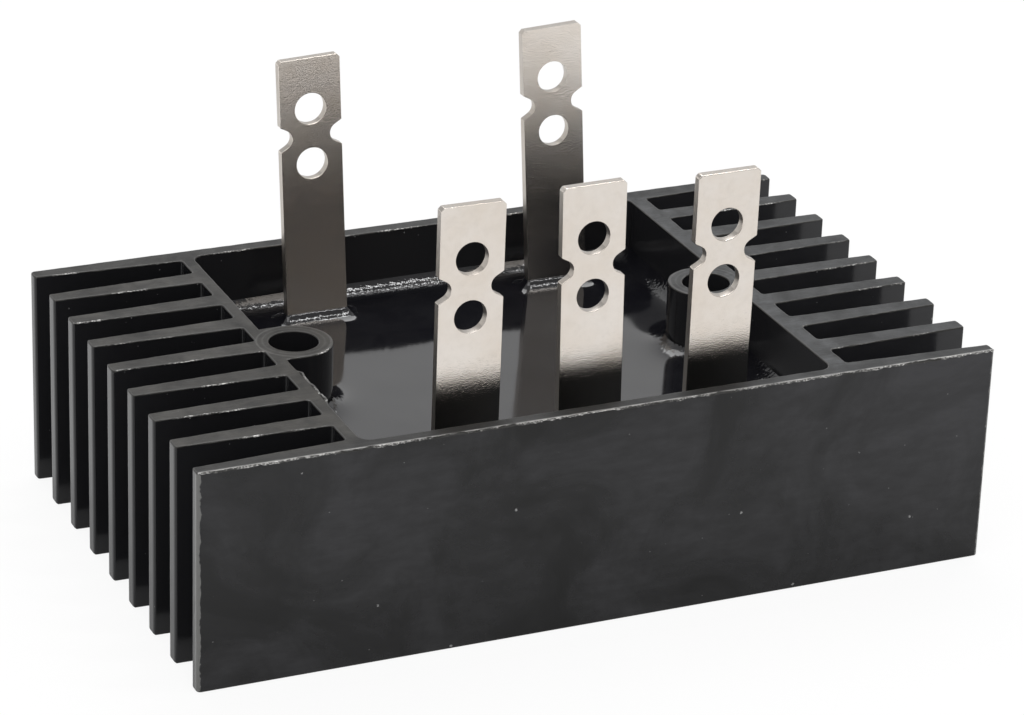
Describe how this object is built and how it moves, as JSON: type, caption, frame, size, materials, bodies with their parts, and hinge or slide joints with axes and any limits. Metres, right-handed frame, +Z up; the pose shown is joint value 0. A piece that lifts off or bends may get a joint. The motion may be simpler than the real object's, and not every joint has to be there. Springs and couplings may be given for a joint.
{
  "type": "bridge rectifier",
  "caption": "Three-phase bridge rectifier module: a finned black aluminium frame with a resin-filled well, screw bosses and upright nickel-plated strip terminals.",
  "frame": {"origin": "centre of the flat underside", "axes": "+Z up along the terminals, +X along the frame's length, -Y towards the row of three input terminals"},
  "size_m": [0.092, 0.0556, 0.0495],
  "materials": {
    "black_aluminium": "black finish, semi-gloss on the drawn faces and grey-brown where sawn",
    "bare_aluminium": "plain, lightly brushed",
    "copper": "bare copper, satin",
    "alumina": "matte white ceramic",
    "silicon": "polished, metallised on top",
    "nickel_plate": "nickel plated, satin with a fine grain",
    "gel": "soft, milky",
    "black_resin": "glossy black epoxy"
  },
  "bodies": {
    "root": {"finned_frame": "black_aluminium", "base_plate": "bare_aluminium", "substrate_backing": "copper", "ceramic_substrate": "alumina", "dc_plus_pad": "copper", "dc_minus_pad": "copper", "minus_collector_pad": "copper", "ac_pad_1": "copper", "ac_pad_2": "copper", "ac_pad_3": "copper", "upper_diode_1": "silicon", "upper_diode_2": "silicon", "upper_diode_3": "silicon", "lower_diode_1": "silicon", "lower_diode_2": "silicon", "lower_diode_3": "silicon", "upper_clip_1": "copper", "upper_clip_2": "copper", "upper_clip_3": "copper", "lower_clip_1": "copper", "lower_clip_2": "copper", "lower_clip_3": "copper", "minus_bridge": "copper", "ac_terminal_1": "nickel_plate", "ac_terminal_2": "nickel_plate", "ac_terminal_3": "nickel_plate", "dc_plus_terminal": "nickel_plate", "dc_minus_terminal": "nickel_plate", "silicone_gel": "gel", "epoxy_potting": "black_resin"}
  },
  "joints": []
}
